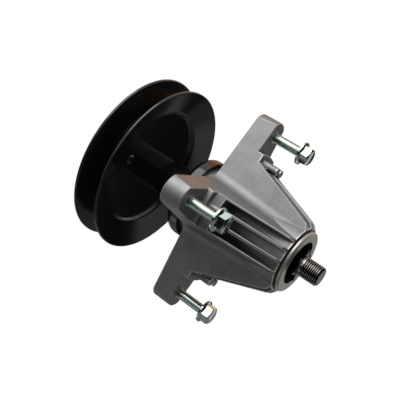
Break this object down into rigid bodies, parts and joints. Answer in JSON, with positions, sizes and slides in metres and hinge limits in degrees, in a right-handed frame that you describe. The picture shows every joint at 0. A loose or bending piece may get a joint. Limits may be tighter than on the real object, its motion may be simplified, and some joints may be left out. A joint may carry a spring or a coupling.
{
  "type": "mower deck spindle",
  "caption": "Mower deck spindle: ribbed die-cast housing with four arms and deck screws, star-drive shaft with threaded stud on sealed ball bearings, dust cap, and stamped V-belt pulley.",
  "frame": {"origin": "on the spindle axis in the plane of the four deck seats, at the centre of the deck screw circle", "axes": "+Z along the spindle axis towards the pulley, +X and +Y along two neighbouring arms"},
  "size_m": [0.1674, 0.1674, 0.194],
  "materials": {
    "cast_aluminium": "as-cast satin",
    "zinc_steel": "bright zinc plate",
    "bearing_steel": "ground",
    "shaft_steel": "oiled dark steel",
    "turned_steel": "turned",
    "black_enamel": "gloss black paint",
    "seal_rubber": "moulded",
    "cage_nylon": "moulded"
  },
  "bodies": {
    "housing": {"spindle_housing": "cast_aluminium", "deck_bolts": "zinc_steel", "lower_bearing_outer_ring": "bearing_steel", "lower_bearing_upper_seal": "seal_rubber", "lower_bearing_lower_seal": "seal_rubber", "upper_bearing_outer_ring": "bearing_steel", "upper_bearing_upper_seal": "seal_rubber", "upper_bearing_lower_seal": "seal_rubber"},
    "spindle": {"spindle_shaft": "shaft_steel", "blade_seat_flange": "turned_steel", "lower_bearing_inner_ring": "bearing_steel", "bearing_spacer_tube": "turned_steel", "upper_bearing_inner_ring": "bearing_steel", "cap_spacer_collar": "turned_steel", "upper_dust_cap": "black_enamel", "pulley_spacer_sleeve": "black_enamel", "pulley_lower_half": "black_enamel", "pulley_upper_half": "black_enamel", "pulley_rivets": "black_enamel", "pulley_washer": "zinc_steel", "pulley_nut": "zinc_steel"},
    "lower_ball_set": {"lower_bearing_balls": "bearing_steel", "lower_bearing_cage": "cage_nylon"},
    "upper_ball_set": {"upper_bearing_balls": "bearing_steel", "upper_bearing_cage": "cage_nylon"}
  },
  "joints": [
    {"name": "spindle_spin", "type": "hinge", "parent": "housing", "child": "spindle", "pos_m": [0, 0, 0], "axis": [0, 0, 1], "continuous": true},
    {"name": "lower_cage_spin", "type": "hinge", "parent": "housing", "child": "lower_ball_set", "pos_m": [0, 0, -0.051], "axis": [0, 0, 1], "continuous": true},
    {"name": "upper_cage_spin", "type": "hinge", "parent": "housing", "child": "upper_ball_set", "pos_m": [0, 0, 0.017], "axis": [0, 0, 1], "continuous": true}
  ],
  "couplings": [
    {"joint": "lower_cage_spin", "follows": "spindle_spin", "ratio": 0.3815},
    {"joint": "upper_cage_spin", "follows": "spindle_spin", "ratio": 0.3815}
  ]
}
